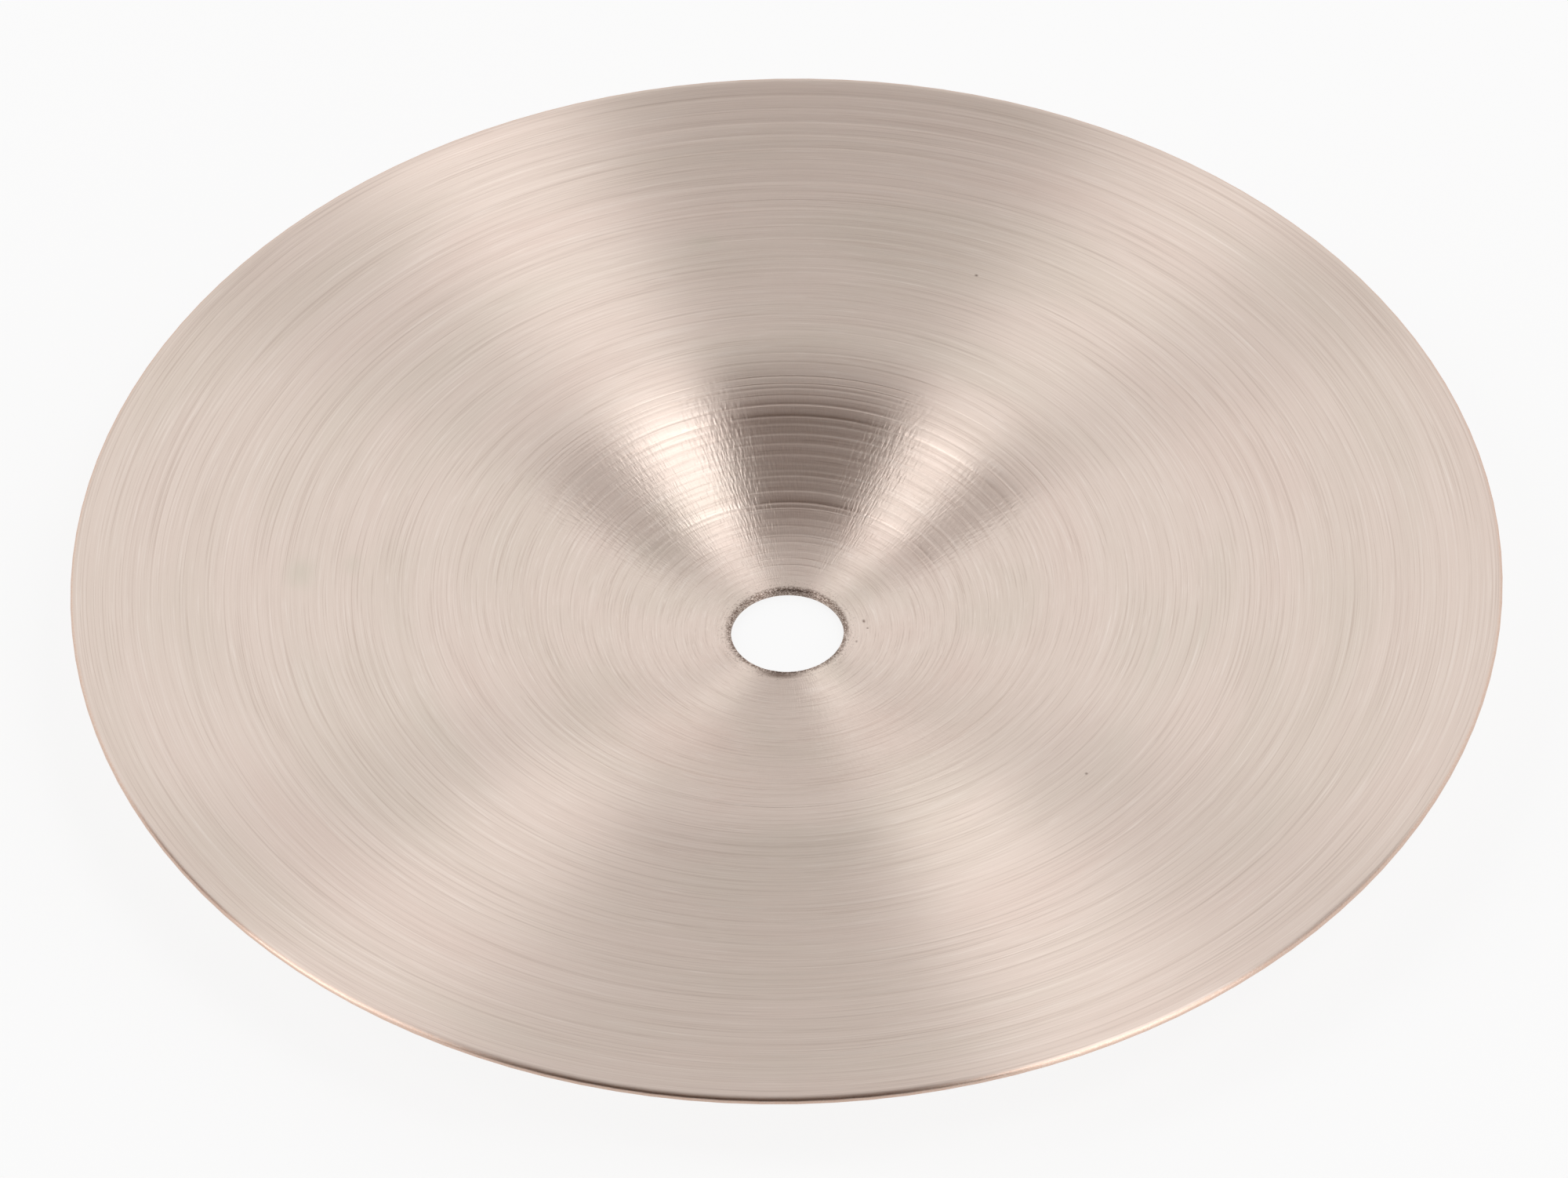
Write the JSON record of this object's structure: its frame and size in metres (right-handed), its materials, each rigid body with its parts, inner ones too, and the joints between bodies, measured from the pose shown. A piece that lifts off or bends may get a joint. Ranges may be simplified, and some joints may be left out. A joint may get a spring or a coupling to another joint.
{
  "type": "splash cymbal",
  "caption": "Small thin splash cymbal, one turned bronze sheet with a low bell, a shallow bow and a plain centre hole for a stand rod; it lies bell down, hollow side up.",
  "frame": {"origin": "on the axis, at the lowest plane of the crown, which is the bottom centre of the box", "axes": "+Z along the axis, from the outside of the bell towards the rim and out of the hollow side"},
  "size_m": [0.1524, 0.1524, 0.0109],
  "materials": {
    "turned_bronze": "lathe turned, satin, pale and slightly pink"
  },
  "bodies": {
    "root": {"cymbal": "turned_bronze"}
  },
  "joints": []
}
